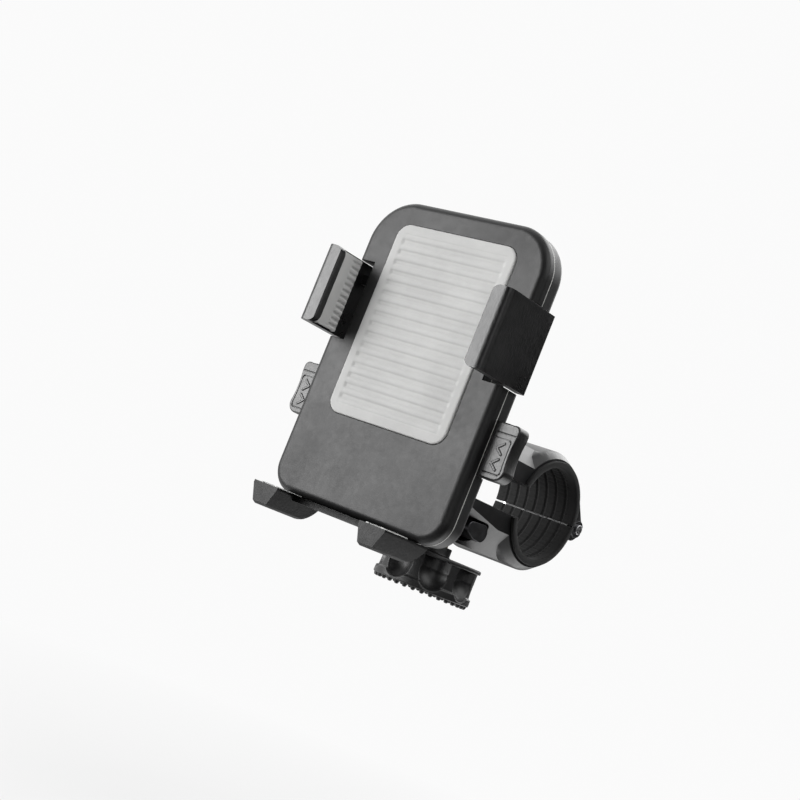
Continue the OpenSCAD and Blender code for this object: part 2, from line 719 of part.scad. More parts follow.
module knob_insert() {
  color([0.75, 0.6, 0.3]) translate([0, bolt_y, -37.1]) difference() {
    cylinder(h = 17.75, r = insert_r);
    translate([0, 0, -1]) cylinder(h = 30, r = 2.5);
  }
}
module knob_cap() {
  color([0.12, 0.12, 0.125]) translate([0, bolt_y, -40]) cylinder(h = 0.95, r = cap_r);
}

front_shell();
rear_shell();
front_pad();
left_jaw();
right_jaw();
left_jaw_pad();
right_jaw_pad();
pinion();
pinion_pin();
jaw_spring();
left_release_button();
right_release_button();
left_button_spring();
right_button_spring();
left_pawl();
right_pawl();
pawl_pins();
foot_bracket();
left_foot_pad();
right_foot_pad();
foot_detent();
housing_screws();
ball_socket();
socket_screws();
ball_liner();
locking_ring();
ball_stud();
stud_pin();
upper_clamp_jaw();
lower_clamp_jaw();
hinge_pin();
hinge_clip();
upper_liner();
lower_liner();
clamp_bolt();
bolt_washer();
trunnion();
trunnion_washer();
knob();
knob_insert();
knob_cap();
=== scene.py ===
# A cradle with two side jaws and a foot, carried by a ball joint on a clamp closed by a hand knob.
# The cradle faces -Y with its jaws at -X and +X. The clamp's bore lies along the X axis, and the
# knob hangs below it, turning about a vertical axis. Z is up.
# CAD nodes keep their shape and gain rounded edges; pads, liners, buttons and knob are built here.
import bpy, bmesh, math
from mathutils import Matrix, Vector


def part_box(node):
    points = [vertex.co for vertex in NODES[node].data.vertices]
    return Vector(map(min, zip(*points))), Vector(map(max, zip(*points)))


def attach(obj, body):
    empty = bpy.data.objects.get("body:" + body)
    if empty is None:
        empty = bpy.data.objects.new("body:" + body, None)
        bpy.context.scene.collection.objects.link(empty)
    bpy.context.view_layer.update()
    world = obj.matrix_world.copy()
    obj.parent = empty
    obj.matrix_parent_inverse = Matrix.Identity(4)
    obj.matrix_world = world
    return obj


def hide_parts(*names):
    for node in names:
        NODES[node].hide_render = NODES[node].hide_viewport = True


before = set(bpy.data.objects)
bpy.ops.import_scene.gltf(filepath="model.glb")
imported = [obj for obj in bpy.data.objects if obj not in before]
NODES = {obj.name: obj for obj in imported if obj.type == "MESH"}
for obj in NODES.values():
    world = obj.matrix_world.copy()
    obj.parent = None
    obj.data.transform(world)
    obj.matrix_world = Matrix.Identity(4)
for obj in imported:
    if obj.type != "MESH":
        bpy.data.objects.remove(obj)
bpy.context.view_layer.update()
MM = 0.001                      # metres in a millimetre; pieces are built in millimetres
# the front shell's material paints a highlight line along this edge
FRONT_RIM_Y = -73.5 * MM        # parting edge of the front shell
BACKDROP = 0.96                 # brightness of the background and the far floor


def put(name, data):
    """A new object in the scene."""
    obj = bpy.data.objects.new(name, data)
    bpy.context.scene.collection.objects.link(obj)
    return obj


# ---------------------------------------------------------------- shader nodes
def feed(tree, node, inputs):
    """Links or sets a node's inputs, given by name or index."""
    for key, value in inputs.items():
        if isinstance(value, bpy.types.NodeSocket):
            tree.links.new(value, node.inputs[key])
        else:
            node.inputs[key].default_value = value


def add(tree, kind, inputs=None, **settings):
    node = tree.nodes.new(kind)
    for key, value in settings.items():
        setattr(node, key, value)
    feed(tree, node, inputs or {})
    return node


def maths(tree, operation, *values, kind="ShaderNodeMath"):
    inputs = dict(enumerate(values))
    return add(tree, kind, inputs, operation=operation).outputs["Value"]


def noise(tree, scale, detail, rough=0.6, stretch=None):
    source = add(tree, "ShaderNodeTexCoord").outputs["Object"]
    if stretch:
        mapping = add(tree, "ShaderNodeMapping", {"Scale": stretch, "Vector": source})
        source = mapping.outputs["Vector"]
    return add(tree, "ShaderNodeTexNoise", {
        "Scale": scale, "Detail": detail, "Roughness": rough, "Vector": source}).outputs["Fac"]


def ramp(tree, value, over, to=(0.0, 1.0), interpolation="LINEAR"):
    """Maps the range `over` onto the range `to`, held at both ends."""
    return add(tree, "ShaderNodeMapRange", {
        "From Min": over[0], "From Max": over[1], "To Min": to[0], "To Max": to[1],
        "Value": value}, interpolation_type=interpolation).outputs["Result"]


def mix_colour(tree, factor, first, second):
    colours = [(*c, 1) if isinstance(c, tuple) else c for c in (first, second)]
    inputs = {6: colours[0], 7: colours[1], 0: factor}
    return add(tree, "ShaderNodeMix", inputs, data_type="RGBA").outputs[2]


def bump(tree, height, strength, distance, normal=None):
    inputs = {"Strength": strength, "Distance": distance, "Height": height}
    if normal is not None:
        inputs["Normal"] = normal
    return add(tree, "ShaderNodeBump", inputs).outputs["Normal"]


def edge_wear(tree):
    """1 along worn convex edges: the rounded-edge normal against the true normal."""
    rounded = add(tree, "ShaderNodeBevel", {"Radius": 0.25 * MM}, samples=4)
    geometry = add(tree, "ShaderNodeNewGeometry")
    agreement = maths(tree, "DOT_PRODUCT", rounded.outputs["Normal"], geometry.outputs["Normal"],
                      kind="ShaderNodeVectorMath")
    return ramp(tree, agreement, over=(0.995, 0.90))


# ---------------------------------------------------------------- materials
def new_material(name):
    material = bpy.data.materials.new(name)
    material.use_nodes = True
    tree = material.node_tree
    return material, tree, tree.nodes["Principled BSDF"]


def tint(colour, gain, lift=0.0):
    return tuple(min(1, c * gain + lift) for c in colour)


def plastic(name, base, rough=0.42, spec=0.5, grain=0.5, wear=0.35, tone=0.25,
            dust=0.0, hide=0.0, rim=None):
    """Moulded plastic: fine grain, slow tone and gloss drift, polished edges, settled dust.

    tone: colour drift; hide: depth of the leather-like texture; rim: Y of a painted highlight line
    along an edge.
    """
    material, tree, shader = new_material(name)
    fine_scale = 2600.0
    slow = noise(tree, 45.0, detail=4.0)
    mid = noise(tree, 420.0, detail=4.0, rough=0.7)
    fine = noise(tree, fine_scale, detail=2.0, rough=0.5)
    micro = noise(tree, fine_scale * 2.3, detail=2.0)

    drift = ramp(tree, slow, over=(0.35, 0.68))
    colour = mix_colour(tree, drift, tint(base, 1 - tone), tint(base, 1 + tone, 0.001))
    speckle = ramp(tree, fine, over=(0.4, 0.75), to=(0.0, 0.30))
    colour = mix_colour(tree, speckle, colour, tint(base, 1.6, 0.003))
    edges = edge_wear(tree)
    worn = maths(tree, "MULTIPLY", edges, ramp(tree, mid, over=(0.42, 0.62), to=(0.0, wear)))
    colour = mix_colour(tree, worn, colour, tint(base, 2.2, 0.03))
    if dust:
        normal = add(tree, "ShaderNodeNewGeometry").outputs["Normal"]
        axes = add(tree, "ShaderNodeSeparateXYZ", {0: normal})
        upward = ramp(tree, axes.outputs["Z"], over=(0.55, 1.0))
        patches = ramp(tree, mid, over=(0.5, 0.75), to=(0.0, dust))
        dusty = maths(tree, "MULTIPLY", upward, patches)
        colour = mix_colour(tree, dusty, colour, (0.32, 0.31, 0.29))
    if rim is not None:
        # painted highlight: a thin light line along the parting edge, standing in for light caught
        # by the edge
        place = add(tree, "ShaderNodeTexCoord").outputs["Object"]
        axes = add(tree, "ShaderNodeSeparateXYZ", {0: place})
        line = ramp(tree, axes.outputs["Y"], over=(rim - 0.50 * MM, rim - 0.32 * MM))
        painted_highlight = maths(tree, "MULTIPLY", line,
                       ramp(tree, mid, over=(0.2, 0.6), to=(0.75, 1.0)))
        colour = mix_colour(tree, painted_highlight, colour, (0.50, 0.50, 0.48))

    gloss = maths(tree, "ADD",
                  ramp(tree, slow, over=(0.3, 0.7), to=(rough - 0.05, rough + 0.05)),
                  ramp(tree, mid, over=(0.3, 0.7), to=(-0.03, 0.04)))
    edge_polish = maths(tree, "MULTIPLY", edges, 0.12)
    normal = bump(tree, micro, strength=0.25 * grain, distance=0.03 * MM)
    normal = bump(tree, fine, strength=0.6 * grain, distance=0.05 * MM, normal=normal)
    normal = bump(tree, mid, strength=0.12, distance=0.05 * MM, normal=normal)
    if hide:
        # drawn out along the height of the part
        leather = noise(tree, 1500.0, detail=3.0, stretch=(1.0, 1.0, 0.45))
        normal = bump(tree, leather, strength=hide, distance=0.16 * MM, normal=normal)
    feed(tree, shader, {
        "Base Color": colour,
        "Roughness": maths(tree, "SUBTRACT", gloss, edge_polish),
        "Specular IOR Level": spec,
        "Normal": normal,
    })
    return material


def rubber(name, base, rough=0.75, spec=0.3):
    """Matt rubber; pale rubber varies less in tone than black."""
    material, tree, shader = new_material(name)
    slow = noise(tree, 60.0, detail=4.0)
    fine = noise(tree, 1700.0, detail=5.0, rough=0.75)
    if base[0] > 0.1:
        dark, light, speck = tint(base, 0.93), tint(base, 1.06), tint(base, 1.15)
    else:
        dark, light, speck = tint(base, 0.75), tint(base, 1.3), tint(base, 2.0, 0.02)
    colour = mix_colour(tree, ramp(tree, slow, over=(0.35, 0.65)), dark, light)
    speckle = ramp(tree, fine, over=(0.55, 0.8), to=(0.0, 0.4))
    feed(tree, shader, {
        "Base Color": mix_colour(tree, speckle, colour, speck),
        "Roughness": ramp(tree, fine, over=(0.3, 0.7), to=(rough - 0.08, rough + 0.1)),
        "Specular IOR Level": spec,
        "Sheen Weight": 0.06,
        "Sheen Roughness": 0.6,
        "Normal": bump(tree, fine, strength=0.5, distance=0.08 * MM),
    })
    return material


def metal(name, base, rough=0.28):
    material, tree, shader = new_material(name)
    finish = noise(tree, 900.0, detail=5.0, stretch=(1.0, 1.0, 1.0))
    slow = noise(tree, 120.0, detail=4.0)
    colour = mix_colour(tree, ramp(tree, slow, over=(0.35, 0.65)), tint(base, 0.82), base)
    speckle = ramp(tree, finish, over=(0.5, 0.8), to=(0.0, 0.35))
    feed(tree, shader, {
        "Base Color": mix_colour(tree, speckle, colour, tint(base, 0.6)),
        "Metallic": 1.0,
        "Roughness": ramp(tree, finish, over=(0.3, 0.7), to=(rough - 0.08, rough + 0.12)),
        "Normal": bump(tree, finish, strength=0.25, distance=0.02 * MM),
    })
    return material


MATERIALS = {
    # the front shell carries a painted highlight line along its parting edge (rim)
    "shell": plastic("shell_plastic_v", (0.006, 0.006, 0.0062), rough=0.43, spec=0.27,
                     grain=0.8, dust=0.02, rim=FRONT_RIM_Y),
    "shell_rear": plastic("shell_rear_v", (0.006, 0.006, 0.0063), rough=0.46, spec=0.4,
                          grain=0.8, dust=0.02),
    "jaw": plastic("jaw_plastic_v", (0.004, 0.004, 0.0042), rough=0.31, spec=0.42,
                   grain=0.7, wear=0.2, hide=0.4),
    "button": plastic("button_plastic_v", (0.005, 0.005, 0.005), rough=0.37, grain=0.9,
                      wear=0.25, hide=0.45),
    "foot": plastic("foot_plastic_v", (0.006, 0.006, 0.0062), rough=0.44, spec=0.17,
                    grain=1.0, wear=0.2, hide=0.5),
    "clamp": plastic("clamp_plastic_v", (0.007, 0.007, 0.0074), rough=0.36, grain=0.6, dust=0.01),
    "knob": plastic("knob_plastic_v", (0.005, 0.005, 0.0052), rough=0.42, grain=0.6),
    "pad": rubber("grip_rubber_v", (0.52, 0.52, 0.513), rough=0.62),
    "rest_pad": rubber("rest_rubber_v", (0.37, 0.37, 0.365), rough=0.66),
    "liner": rubber("liner_rubber_v", (0.010, 0.010, 0.010), rough=0.8, spec=0.2),
    "acetal": plastic("acetal_v", (0.62, 0.60, 0.55), rough=0.32, grain=0.15, wear=0.0, tone=0.05),
    "steel": metal("steel_v", (0.62, 0.62, 0.63)),
    "bolt": metal("bolt_v", (0.30, 0.30, 0.31), rough=0.3),
    "black_steel": metal("black_steel_v", (0.09, 0.09, 0.095), rough=0.36),
    "spring": metal("spring_v", (0.6, 0.6, 0.62), rough=0.25),
    "brass": metal("brass_v", (0.72, 0.52, 0.22), rough=0.26),
}

# ---------------------------------------------------------------- CAD nodes
# node: (material, rounding of its edges in millimetres)
FINISH = {
    "front_shell": ("shell", 0.35), "rear_shell": ("shell_rear", 0.35),
    "front_pad": ("pad", 0.15), "foot_bracket": ("foot", 0.3),
    "left_jaw": ("jaw", 0.4), "right_jaw": ("jaw", 0.4),
    "left_jaw_pad": ("pad", 0.15), "right_jaw_pad": ("pad", 0.15),
    "left_foot_pad": ("pad", 0.2), "right_foot_pad": ("pad", 0.2),
    "left_release_button": ("button", 0.3), "right_release_button": ("button", 0.3),
    "left_pawl": ("acetal", 0.12), "right_pawl": ("acetal", 0.12),
    "pawl_pins": ("steel", 0), "pinion": ("acetal", 0.08), "pinion_pin": ("steel", 0),
    "foot_detent": ("spring", 0.05), "housing_screws": ("black_steel", 0.1),
    "ball_socket": ("shell_rear", 0.3), "socket_screws": ("steel", 0),
    "ball_liner": ("acetal", 0), "locking_ring": ("knob", 0.25),
    "ball_stud": ("clamp", 0.2), "stud_pin": ("steel", 0),
    "upper_clamp_jaw": ("clamp", 0.45), "lower_clamp_jaw": ("clamp", 0.45),
    "hinge_pin": ("steel", 0.15), "hinge_clip": ("black_steel", 0.08),
    "upper_liner": ("liner", 0.2), "lower_liner": ("liner", 0.2),
    "clamp_bolt": ("bolt", 0.2), "bolt_washer": ("steel", 0.12),
    "trunnion": ("black_steel", 0.25), "trunnion_washer": ("steel", 0.12),
    "knob": ("knob", 0.3), "knob_insert": ("brass", 0.15), "knob_cap": ("knob", 0.2),
}
COIL_SPRINGS = ("jaw_spring", "left_button_spring", "right_button_spring")


def crisp_group(angle):
    """Marks the edges sharper than this angle, so that shading breaks there."""
    tree = bpy.data.node_groups.new("crisp", "GeometryNodeTree")
    for direction in ("INPUT", "OUTPUT"):
        tree.interface.new_socket("Geometry", in_out=direction,
                                  socket_type="NodeSocketGeometry")
    group_in = add(tree, "NodeGroupInput")
    group_out = add(tree, "NodeGroupOutput")
    edge_angle = add(tree, "GeometryNodeInputMeshEdgeAngle").outputs[0]
    sharp = add(tree, "FunctionNodeCompare", {0: edge_angle, 1: math.radians(angle)},
                data_type="FLOAT", operation="GREATER_THAN").outputs[0]
    shading = add(tree, "GeometryNodeSetShadeSmooth", {
        "Shade Smooth": False, "Selection": sharp, 0: group_in.outputs[0]}, domain="EDGE")
    feed(tree, group_out, {0: shading.outputs[0]})
    return tree


CRISP = crisp_group(angle=34.0)


def smooth_faces(mesh):
    mesh.polygons.foreach_set("use_smooth", [True] * len(mesh.polygons))


def polish(obj, width):
    """Rounded edges and even shading on a CAD node, by modifiers only."""
    attributes = obj.data.attributes
    if "custom_normal" in attributes:
        attributes.remove(attributes["custom_normal"])
    smooth_faces(obj.data)
    obj.modifiers.new("weld", "WELD").merge_threshold = 0.002 * MM
    planar = obj.modifiers.new("planar", "DECIMATE")
    planar.decimate_type = "DISSOLVE"
    planar.angle_limit = math.radians(0.6)
    if width:
        bevel = obj.modifiers.new("round", "BEVEL")
        bevel.width = width * MM
        bevel.segments = 3
        bevel.limit_method = "ANGLE"
        bevel.angle_limit = math.radians(32.0)
        bevel.use_clamp_overlap = True
        bevel.miter_outer = "MITER_ARC"
        bevel.harden_normals = False
    obj.modifiers.new("crisp", "NODES").node_group = CRISP
    normals = obj.modifiers.new("shade", "WEIGHTED_NORMAL")
    normals.keep_sharp = True
    normals.weight = 70


def finish_nodes():
    for name, obj in NODES.items():
        material, width = ("spring", 0) if name in COIL_SPRINGS else FINISH[name]
        obj.data.materials.clear()
        obj.data.materials.append(MATERIALS[material])
        if name in COIL_SPRINGS:
            smooth_faces(obj.data)
            subdivision = obj.modifiers.new("round", "SUBSURF")
            subdivision.levels = subdivision.render_levels = 1
        else:
            polish(obj, width)


# ---------------------------------------------------------------- mesh tools, in millimetres
def piece(name, verts, faces, material, body, replaced, sharp_angle):
    """A closed mesh riding on a CAD body in place of a CAD node."""
    mesh = bpy.data.meshes.new(name)
    mesh.from_pydata([tuple(c * MM for c in v) for v in verts], [], [tuple(f) for f in faces])
    bm = bmesh.new()
    bm.from_mesh(mesh)
    bmesh.ops.remove_doubles(bm, verts=bm.verts, dist=0.0008 * MM)
    bmesh.ops.dissolve_degenerate(bm, edges=bm.edges, dist=0.0005 * MM)
    bmesh.ops.recalc_face_normals(bm, faces=bm.faces)
    bm.to_mesh(mesh)
    bm.free()
    smooth_faces(mesh)
    obj = put(name, mesh)
    mesh.materials.append(MATERIALS[material])
    mesh.set_sharp_from_angle(angle=math.radians(sharp_angle))
    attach(obj, body)
    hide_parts(replaced)


def cad_box(name):
    """Low corner, high corner, size and middle of a CAD node."""
    lo, hi = ([c / MM for c in corner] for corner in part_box(name))
    size = [b - a for a, b in zip(lo, hi)]
    middle = [(b + a) / 2 for a, b in zip(lo, hi)]
    return lo, hi, size, middle


def loft(rings, closed=True):
    """Faces between successive rings; closed joins the last to the first, else ends are capped."""
    count, around = len(rings), len(rings[0])
    verts = [v for ring in rings for v in ring]
    faces = []
    for i in range(count if closed else count - 1):
        j = (i + 1) % count
        for k in range(around):
            l = (k + 1) % around
            faces.append((i * around + k, i * around + l, j * around + l, j * around + k))
    if not closed:
        faces.append(tuple(range(around - 1, -1, -1)))
        faces.append(tuple((count - 1) * around + k for k in range(around)))
    return verts, faces


def flipped(faces):
    return [tuple(reversed(f)) for f in faces]


def join(*parts):
    verts, faces = [], []
    for part_verts, part_faces in parts:
        offset = len(verts)
        verts += part_verts
        faces += [tuple(i + offset for i in f) for f in part_faces]
    return verts, faces


def rounded_box(*spans):
    """A box given by its (low, high) along each axis, with its edges cut back."""
    bm = bmesh.new()
    bmesh.ops.create_cube(bm, size=1.0)
    for v in bm.verts:
        v.co = Vector([(a + b) / 2 + c * (b - a) for (a, b), c in zip(spans, v.co)])
    bmesh.ops.bevel(bm, geom=list(bm.edges), offset=0.25, segments=2, affect="EDGES",
                    profile=0.5)
    bm.verts.index_update()
    verts = [tuple(v.co) for v in bm.verts]
    faces = [tuple(v.index for v in f.verts) for f in bm.faces]
    bm.free()
    return verts, faces


def outline_depth(x, y, half_x, half_y, corner):
    """Distance in from the outline of a rounded rectangle, negative outside."""
    qx = abs(x) - (half_x - corner)
    qy = abs(y) - (half_y - corner)
    return corner - (math.hypot(max(qx, 0), max(qy, 0)) + min(max(qx, qy), 0))


def pad_sheet(width, depth, corner, thick, edge, relief, cell, round_back=False):
    """A pad in x, y with its back at 0 and its face at thick + relief(x, y).

    corner: radius of the outline's corners, or a function of x, y; edge: rounding of the face's
    edge, and of the back's with round_back; cell: grid spacing along x and y.
    """
    half_x, half_y = width / 2, depth / 2
    nx = max(4, int(width / cell[0]))
    ny = max(4, int(depth / cell[1]))
    corner_at = corner if callable(corner) else (lambda x, y: corner)

    def inside(x, y):
        return outline_depth(x, y, half_x, half_y, corner_at(x, y))

    def grid_point(i, j):
        """A square grid, with points beyond a round corner pulled onto its arc."""
        x = (2 * i / nx - 1) * half_x
        y = (2 * j / ny - 1) * half_y
        if inside(x, y) < 0:
            radius = corner_at(x, y)
            cx = math.copysign(half_x - radius, x)
            cy = math.copysign(half_y - radius, y)
            pull = radius / math.hypot(x - cx, y - cy)
            x, y = cx + (x - cx) * pull, cy + (y - cy) * pull
        return x, y

    face_side, back_side = [], []
    for j in range(ny + 1):
        for i in range(nx + 1):
            x, y = grid_point(i, j)
            d = max(0.0, inside(x, y))
            t = min(1.0, d / edge)
            fall = edge * (1 - math.sqrt(max(0.0, 1 - (1 - t) ** 2)))
            z = thick + relief(x, y) * min(1.0, d / (2 * edge)) - fall
            face_side.append((x, y, z))
            back_side.append((x, y, fall if round_back else 0.0))
    row, offset = nx + 1, len(face_side)
    faces = []
    for j in range(ny):
        for i in range(nx):
            a, b = j * row + i, j * row + i + 1
            c, d = b + row, a + row
            faces.append((a, b, c, d))
            faces.append((offset + a, offset + d, offset + c, offset + b))
    rim = list(range(row))
    rim += [j * row + nx for j in range(1, ny + 1)]
    rim += [ny * row + i for i in range(nx - 1, -1, -1)]
    rim += [j * row for j in range(ny - 1, 0, -1)]
    for a, b in zip(rim, rim[1:] + rim[:1]):
        faces.append((b, a, offset + a, offset + b))
    return face_side + back_side, faces


def rib(place, pitch, width, rise):
    """Height of rounded ribs repeated every pitch."""
    q = abs((place / pitch + 0.5) % 1.0 - 0.5) * pitch
    return rise * math.sqrt(max(0.0, 1 - (q / (width / 2)) ** 2)) if q < width / 2 else 0.0


# ---------------------------------------------------------------- grip pads
def build_front_pad():
    """Pad on the front of the cradle: level ribs in a sunk field with a plain margin."""
    _, hi, (width, thick, height), (mid_x, _, mid_z) = cad_box("front_pad")
    margin, rise, clearance = 3.4, 0.42, 0.1

    def relief(x, z):
        if abs(x) > width / 2 - margin or abs(z) > height / 2 - margin:
            return 0.0
        end = min(1.0, (width / 2 - margin - abs(x)) / 0.8)
        return -rise * min(1.0, end * 1.5) + rib(z, pitch=3.6, width=2.3, rise=rise) * end

    verts, faces = pad_sheet(width - clearance, height - clearance, corner=5.0, thick=thick,
                             edge=0.35, relief=relief, cell=(0.5, 0.24))
    verts = [(mid_x + x, hi[1] - z, mid_z + y) for x, y, z in verts]
    piece("front_grip_pad", verts, flipped(faces), "rest_pad", "cradle", "front_pad",
          sharp_angle=60)


def build_jaw_pad(side):
    """Pad on the inner face of a jaw: ribs along Y behind a plain strip at its front."""
    node = side + "_jaw_pad"
    lo, hi, (thick, depth, height), (_, mid_y, mid_z) = cad_box(node)
    plain_end = -depth / 2 + 6.3
    rise, clearance = 0.38, 0.06

    def relief(y, z):
        if y < plain_end:
            return 0.0
        fade = min(1.0, (y - plain_end) / 0.6)
        return -rise * fade + rib(z, pitch=2.0, width=1.35, rise=rise) * fade

    verts, faces = pad_sheet(depth - clearance, height - clearance, corner=0.9, thick=thick,
                             edge=0.28, relief=relief, cell=(0.3, 0.17))
    back, inward = (hi[0], -1) if side == "right" else (lo[0], 1)
    verts = [(back + inward * z, mid_y + x, mid_z + y) for x, y, z in verts]
    piece(side + "_jaw_grip_pad", verts, faces, "pad", "jaw_" + side, node,
          sharp_angle=60)


def build_foot_pad(side):
    """Pad on top of the foot, with rounded grooves along X."""
    node = side + "_foot_pad"
    lo, _, (width, depth, thick), (mid_x, mid_y, _) = cad_box(node)
    clearance = 0.04

    def relief(x, y):
        if abs(x) < width / 2 - 0.9 and abs(y) < depth / 2 - 1.2:
            return -rib(y, pitch=2.4, width=0.9, rise=0.22)
        return 0.0

    verts, faces = pad_sheet(width - clearance, depth - clearance, corner=0.9, thick=thick,
                             edge=0.3, relief=relief, cell=(0.25, 0.15))
    verts = [(mid_x + x, mid_y + y, lo[2] + z) for x, y, z in verts]
    piece(side + "_foot_grip_pad", verts, faces, "pad", "foot", node,
          sharp_angle=60)


# ---------------------------------------------------------------- clamp liners
LINER_HALF = 17.4               # half the liner's length along X
LINER_BORE = 16.3
# outside of the liner's section from +X to -X, as (x, radius): a lip at each end
LINER_OUTSIDE = [
    (17.4, 18.1), (17.25, 18.55), (16.9, 18.68), (16.3, 18.68), (16.1, 18.5), (16.06, 17.48),
    (-16.06, 17.48), (-16.1, 18.5), (-16.3, 18.68), (-16.9, 18.68), (-17.25, 18.55), (-17.4, 18.1),
]


def build_liner(half):
    """Rubber liner of one clamp half: rings and cross ribs inside, a soft lip each side."""
    steps_along, steps_round = 232, 150
    ring_pitch, ring_depth = 4.2, 0.38
    inside = []
    for i in range(steps_along + 1):
        x = -LINER_HALF + 2 * LINER_HALF * i / steps_along
        from_end = min(LINER_HALF - abs(x), 1.0)
        lip = 0.55 * (1 - math.sqrt(max(0.0, 1 - (1 - from_end) ** 2)))
        wave = max(0.0, math.cos(2 * math.pi * x / ring_pitch) - 0.55) / 0.45
        ring = ring_depth * wave if abs(x) < 15 else 0.0
        inside.append((x, LINER_BORE + lip + ring))
    section = inside + LINER_OUTSIDE

    # angles from -Y: from the edge of the front slot round to the hinge side
    start = math.asin(5.45 / 16.9)
    sweep = math.pi - math.asin(0.32 / 16.9) - start
    up = 1 if half == "upper" else -1
    rings = []
    for j in range(steps_round + 1):
        angle = start + sweep * j / steps_round
        # both ends of the sweep are rounded over 0.35 mm, measured at radius 17
        tip = min(1.0, min(j, steps_round - j) / steps_round * sweep * 17 / 0.35)
        soft = 0.12 * (1 - math.sqrt(max(0.0, 1 - (1 - tip) ** 2)))
        cross = 0.16 * max(0.0, math.cos(angle * 60) - 0.6) / 0.4
        ring = []
        for k, (x, radius) in enumerate(section):
            within = k <= steps_along
            r = radius + (cross if within and abs(x) < 14.5 else 0.0) + (soft if within else -soft)
            ring.append((x * (1 - 0.004 * soft), -r * math.cos(angle), up * r * math.sin(angle)))
        rings.append(ring)
    verts, faces = loft(rings, closed=False)
    piece(half + "_grip_liner", verts, faces, "liner", "clamp" if half == "upper" else "lower_jaw",
          half + "_liner", sharp_angle=40)


# ---------------------------------------------------------------- hand knob
PLAIN, DIMPLED, BUMPED = range(3)


def knob_profile(rim):
    """The knob's closed section as (radius, z, kind), down the outside and back up the bore."""
    profile = []

    def trace(points, kind=PLAIN):
        profile.extend((r, z, kind) for r, z in points)

    def arc(centre_r, centre_z, radius, start, end, steps, kind=PLAIN):
        angles = [math.radians(start + (end - start) * i / steps) for i in range(steps + 1)]
        trace([(centre_r + radius * math.cos(a), centre_z + radius * math.sin(a))
               for a in angles], kind)

    def wall(r, z, bottom, step):
        while z > bottom:
            trace([(r, z)], DIMPLED)
            z -= step

    # collar and top plate
    trace([(3.56, -24.1), (3.85, -23.8)])
    arc(4.8, -24.2, 0.4, 90, 0, 5)
    trace([(5.2, -26.2)])
    arc(6.0, -26.2, 0.8, 180, 270, 5)
    trace([(9.0, -27.0), (9.3, -27.12), (14.9, -27.12), (15.2, -27.0)])
    arc(rim - 0.55, -27.55, 0.55, 90, 0, 6)
    trace([(rim, -28.0)])
    arc(rim - 0.3, -28.05, 0.3, 0, -90, 4)
    # grip
    grip = rim - 0.75
    trace([(grip + 0.2, -28.38)], DIMPLED)
    wall(grip, -28.6, bottom=-36.75, step=0.22)
    trace([(grip + 0.02, -36.85), (grip + 0.12, -37.0), (grip + 0.35, -37.1)], DIMPLED)
    # foot flange and its underside
    arc(rim - 0.35, -37.45, 0.35, 90, 0, 3, DIMPLED)
    wall(rim, -37.65, bottom=-39.2, step=0.2)
    arc(rim - 0.4, -39.3, 0.4, 0, -90, 5)
    trace([(rim - 0.55 - 0.12 * i, -39.7) for i in range(1, 22)], BUMPED)
    # shallow ring, recess and bore
    trace([(12.2, -39.7), (11.9, -39.55), (9.0, -39.55), (8.6, -39.7), (8.3, -39.68),
           (8.08, -39.5), (8.06, -39.02), (2.92, -39.02), (2.92, -37.22), (3.54, -37.18),
           (3.54, -30.0)])
    return profile


def build_knob():
    """Hand knob: top plate and collar, dimpled grip, foot flange with a ring of small bumps."""
    _, _, size, (_, axis_y, _) = cad_box("knob")
    rim = size[0] / 2
    steps_round = 384
    # eight dimples cut by balls, drawn on straight upward from a little above their centres
    dimple_pitch = 2 * math.pi / 8
    ball, ball_distance, ball_z, straight_rise = 5.9, rim + 2.0, -33.5, 1.5
    bump_pitch = 2 * math.pi / 32
    bump_ring, bump_radius, bump_height = rim - 1.35, 0.85, 1.15

    def dimple(angle, z):
        """Largest radius left by the dimples."""
        phi = ((angle / dimple_pitch + 0.5) % 1.0 - 0.5) * 2 * math.pi / 8
        above = z - ball_z if z < ball_z + straight_rise else straight_rise
        reach = ball ** 2 - above ** 2
        left = reach - (ball_distance * math.sin(phi)) ** 2
        if reach <= 0 or left <= 0:
            return 99.0
        return ball_distance * math.cos(phi) - math.sqrt(left)

    def soft_min(a, b, blend):
        h = max(blend - abs(a - b), 0.0) / blend
        return min(a, b) - h * h * blend * 0.25

    rings = []
    for r, z, kind in knob_profile(rim):
        ring = []
        for i in range(steps_round):
            angle = 2 * math.pi * i / steps_round
            radius, height = r, z
            if kind == DIMPLED:
                radius = soft_min(r, dimple(angle, z), blend=0.5)
            elif kind == BUMPED:
                along = ((angle / bump_pitch) % 1.0 - 0.5) * bump_pitch * bump_ring
                d = math.hypot(along, r - bump_ring)
                if d < bump_radius:
                    height = z - bump_height * (1 - (d / bump_radius) ** 4) ** 0.5
            ring.append((radius * math.sin(angle), axis_y - radius * math.cos(angle), height))
        rings.append(ring)
    verts, faces = loft(rings)
    piece("hand_knob", verts, faces, "knob", "knob_body", "knob", sharp_angle=50)


# ---------------------------------------------------------------- release buttons
def segment_distance(x, y, ax, ay, bx, by):
    t = ((x - ax) * (bx - ax) + (y - ay) * (by - ay)) / ((bx - ax) ** 2 + (by - ay) ** 2)
    t = max(0.0, min(1.0, t))
    return math.hypot(x - ax - t * (bx - ax), y - ay - t * (by - ay))


def stroke(distance, half_width):
    """1 within half_width of a line, easing to 0."""
    soft = 0.12
    t = max(0.0, min(1.0, (half_width + soft / 2 - distance) / soft))
    return t * t * (3 - 2 * t)


def button_relief(x, y):
    """Grooved lines above and round a field holding two raised chevrons."""
    z = -0.22 * stroke(abs(y - 5.6), 0.16)
    frame_depth = outline_depth(x + 0.8, y + 1.6, half_x=4.0, half_y=5.6, corner=1.1)
    z -= 0.22 * stroke(abs(frame_depth), 0.15)
    for middle in (-4.1, 0.9):
        arms = [segment_distance(x, y, -1.2, middle, 1.0, middle + rise) for rise in (1.7, -1.7)]
        z += 0.26 * stroke(min(arms), 0.36)
    return z


